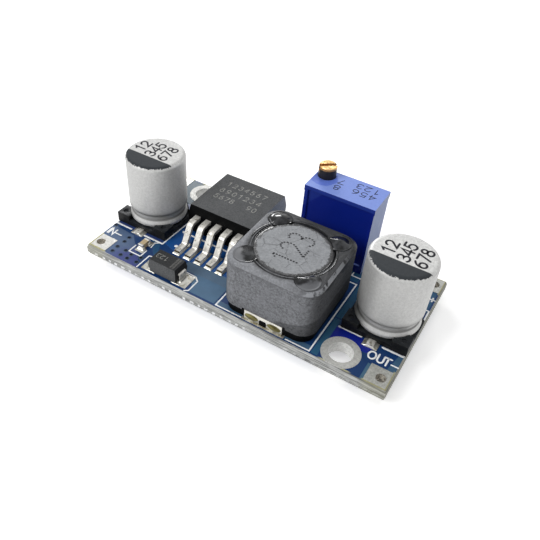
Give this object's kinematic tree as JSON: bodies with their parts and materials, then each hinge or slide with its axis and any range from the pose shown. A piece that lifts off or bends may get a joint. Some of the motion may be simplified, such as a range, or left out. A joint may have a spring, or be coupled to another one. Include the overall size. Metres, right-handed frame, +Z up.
{
  "type": "buck converter module",
  "caption": "Small blue circuit board that steps a DC voltage down, with a regulator, shielded inductor, can capacitors, diode and a multiturn trimmer.",
  "frame": {"origin": "centre of the board's underside, midway between the two mounting holes", "axes": "+X along the board towards the output end, +Y across it towards the edge with the plus pads and the trimmer, +Z up out of the component side"},
  "size_m": [0.0432, 0.021, 0.0146],
  "materials": {
    "solder_mask": "glossy blue solder mask over copper",
    "tinned_land": "hot-tinned copper land",
    "can_aluminium": "fine matt grain",
    "black_base": "matt black moulding",
    "tinned_metal": "matt tin plate",
    "moulded_grey": "fine matt epoxy moulding",
    "tan_ceramic": "fired ceramic",
    "ferrite": "ground and fired ferrite",
    "copper": "enamelled copper",
    "dark_glue": "glossy black adhesive",
    "trimmer_blue": "glossy blue moulding",
    "potting": "cast epoxy",
    "white_ceramic": "fired alumina",
    "resistive_film": "fired resistive ink",
    "o_ring_rubber": "nitrile rubber",
    "screw_brass": "turned brass",
    "rotor_plastic": "off-white moulding"
  },
  "bodies": {
    "module": {"circuit_board": "solder_mask", "mounting_hole_rings": "tinned_land", "in_plus_pad": "tinned_land", "in_minus_pad": "tinned_land", "out_plus_pad": "tinned_land", "out_minus_pad": "tinned_land", "via_collars": "solder_mask", "input_capacitor_lands": "tinned_land", "output_capacitor_lands": "tinned_land", "regulator_lands": "tinned_land", "diode_lands": "tinned_land", "inductor_lands": "tinned_land", "ceramic_capacitor_lands": "tinned_land", "feedback_resistor_lands": "tinned_land", "trimmer_pin_pads": "tinned_land", "input_capacitor_can": "can_aluminium", "input_capacitor_base": "black_base", "input_capacitor_front_lead": "tinned_metal", "input_capacitor_back_lead": "tinned_metal", "output_capacitor_can": "can_aluminium", "output_capacitor_base": "black_base", "output_capacitor_front_lead": "tinned_metal", "output_capacitor_back_lead": "tinned_metal", "regulator_body": "moulded_grey", "regulator_heat_tab": "tinned_metal", "regulator_lead_1": "tinned_metal", "regulator_lead_2": "tinned_metal", "regulator_lead_4": "tinned_metal", "regulator_lead_5": "tinned_metal", "diode_body": "moulded_grey", "diode_anode_lead": "tinned_metal", "diode_cathode_lead": "tinned_metal", "ceramic_capacitor_body": "tan_ceramic", "ceramic_capacitor_ends": "tinned_metal", "feedback_resistor_body": "black_base", "feedback_resistor_ends": "tinned_metal", "inductor_shield": "ferrite", "inductor_core": "ferrite", "inductor_winding": "copper", "inductor_base": "black_base", "inductor_front_terminal": "tinned_metal", "inductor_back_terminal": "tinned_metal", "inductor_glue": "dark_glue", "trimmer_housing": "trimmer_blue", "trimmer_potting": "potting", "trimmer_element_plate": "white_ceramic", "trimmer_track": "resistive_film", "trimmer_pin_1": "tinned_metal", "trimmer_pin_2": "tinned_metal", "trimmer_pin_3": "tinned_metal", "trimmer_solder": "tinned_land", "screw_o_ring": "o_ring_rubber"},
    "screw": {"adjusting_screw": "screw_brass"},
    "rotor": {"gear_rotor": "rotor_plastic", "wiper": "copper"}
  },
  "joints": [
    {"name": "screw_turn", "type": "hinge", "parent": "module", "child": "screw", "pos_m": [0.00344, 0.00869, 0.0106], "axis": [0, 0, 1], "range_deg": [-4500, 4500]},
    {"name": "rotor_turn", "type": "hinge", "parent": "module", "child": "rotor", "pos_m": [0.00701, 0.00869, 0.007], "axis": [0, 1, 0], "range_deg": [-155, 155]}
  ],
  "couplings": [
    {"joint": "rotor_turn", "follows": "screw_turn", "ratio": -0.033333}
  ]
}
